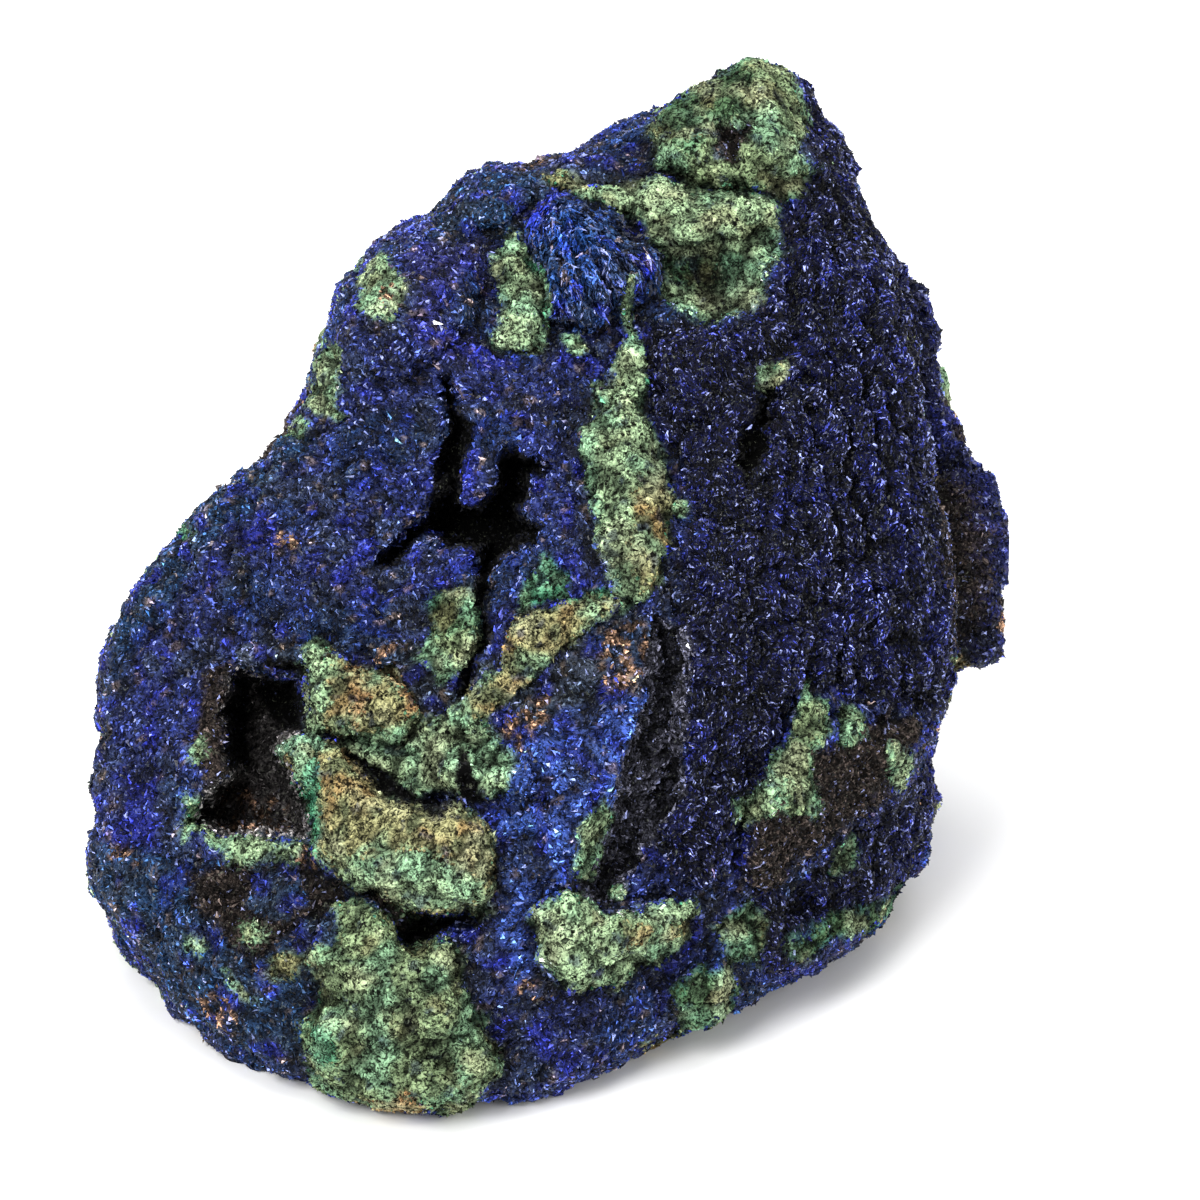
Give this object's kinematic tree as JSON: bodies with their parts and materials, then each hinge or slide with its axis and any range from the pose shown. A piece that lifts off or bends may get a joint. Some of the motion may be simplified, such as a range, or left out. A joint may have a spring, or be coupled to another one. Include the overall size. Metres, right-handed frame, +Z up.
{
  "type": "azurite specimen",
  "caption": "A hand-sized lump of deep blue azurite with green malachite crusts, a peaked crown, ribbed flank and dark hollows, standing on a flat base.",
  "frame": {"origin": "Middle of the bounding box, on the ground under the rock's flat base.", "axes": "+Z up; the display face, with the hollows and the green crusts, looks towards -Y and leans back; +X to the right of it."},
  "size_m": [0.074, 0.0681, 0.0663],
  "materials": {
    "azurite": "rough, sparkling",
    "malachite": "dull, granular",
    "iron_oxide": "dull, earthy"
  },
  "bodies": {
    "root": {"azurite_rock": "azurite"}
  },
  "joints": []
}
